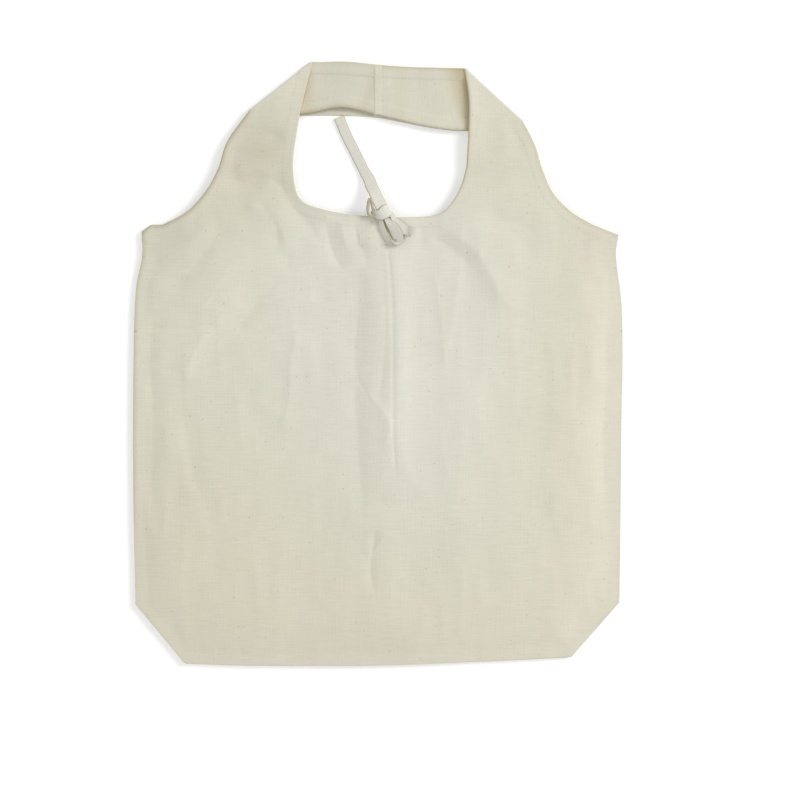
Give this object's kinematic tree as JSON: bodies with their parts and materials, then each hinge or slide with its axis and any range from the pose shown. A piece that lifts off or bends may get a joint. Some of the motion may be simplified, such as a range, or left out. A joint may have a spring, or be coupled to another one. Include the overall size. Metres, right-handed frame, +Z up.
{
  "type": "foldable tote bag",
  "caption": "Foldable tote bag of unbleached cotton, lying flat, with two sewn loop handles, boxed bottom corners and a cloth tie knotted at the neckline.",
  "frame": {"origin": "on the surface that the bag lies on, under the middle of its outline", "axes": "+X across the bag to the right of its front panel, +Y from the bottom seam to the handles, +Z up from the surface"},
  "size_m": [0.4503, 0.5564, 0.0189],
  "materials": {
    "cotton": "plain weave, matt",
    "cotton_hem": "plain weave, folded and stitched, matt",
    "tie_cotton": "folded strip, matt",
    "thread": "sewing thread, slight sheen"
  },
  "bodies": {
    "root": {"front_panel": "cotton", "back_panel": "cotton", "front_neck_hem": "cotton_hem", "back_neck_hem": "cotton_hem", "front_left_armhole_hem": "cotton_hem", "front_right_armhole_hem": "cotton_hem", "back_left_armhole_hem": "cotton_hem", "back_right_armhole_hem": "cotton_hem", "left_side_seam": "cotton_hem", "right_side_seam": "cotton_hem", "tie_patch": "cotton_hem", "tie_knot": "tie_cotton", "tie_tail": "tie_cotton", "tie_bow": "tie_cotton"},
    "bottom_part": {"front_panel_bottom": "cotton", "back_panel_bottom": "cotton", "left_side_seam_bottom": "cotton_hem", "right_side_seam_bottom": "cotton_hem", "bottom_seam": "cotton_hem", "left_corner_seam": "cotton_hem", "right_corner_seam": "cotton_hem"},
    "front_handle": {"front_left_strap": "cotton", "front_right_strap": "cotton", "front_handle_join": "cotton_hem", "front_handle_hems": "cotton_hem"},
    "back_handle": {"back_left_strap": "cotton", "back_right_strap": "cotton", "back_handle_join": "cotton_hem", "back_handle_hems": "cotton_hem"}
  },
  "joints": [
    {"name": "front_handle_fold", "type": "hinge", "parent": "root", "child": "front_handle", "pos_m": [0, 0.155, 0.0094], "axis": [1, 0, 0], "range_deg": [0, 165]},
    {"name": "back_handle_fold", "type": "hinge", "parent": "root", "child": "back_handle", "pos_m": [0, 0.155, 0.0094], "axis": [1, 0, 0], "range_deg": [0, 165]},
    {"name": "bottom_fold", "type": "hinge", "parent": "root", "child": "bottom_part", "pos_m": [0, -0.13, 0.0094], "axis": [-1, 0, 0], "range_deg": [0, 172]}
  ],
  "couplings": [
    {"joint": "back_handle_fold", "follows": "front_handle_fold", "ratio": 1}
  ]
}
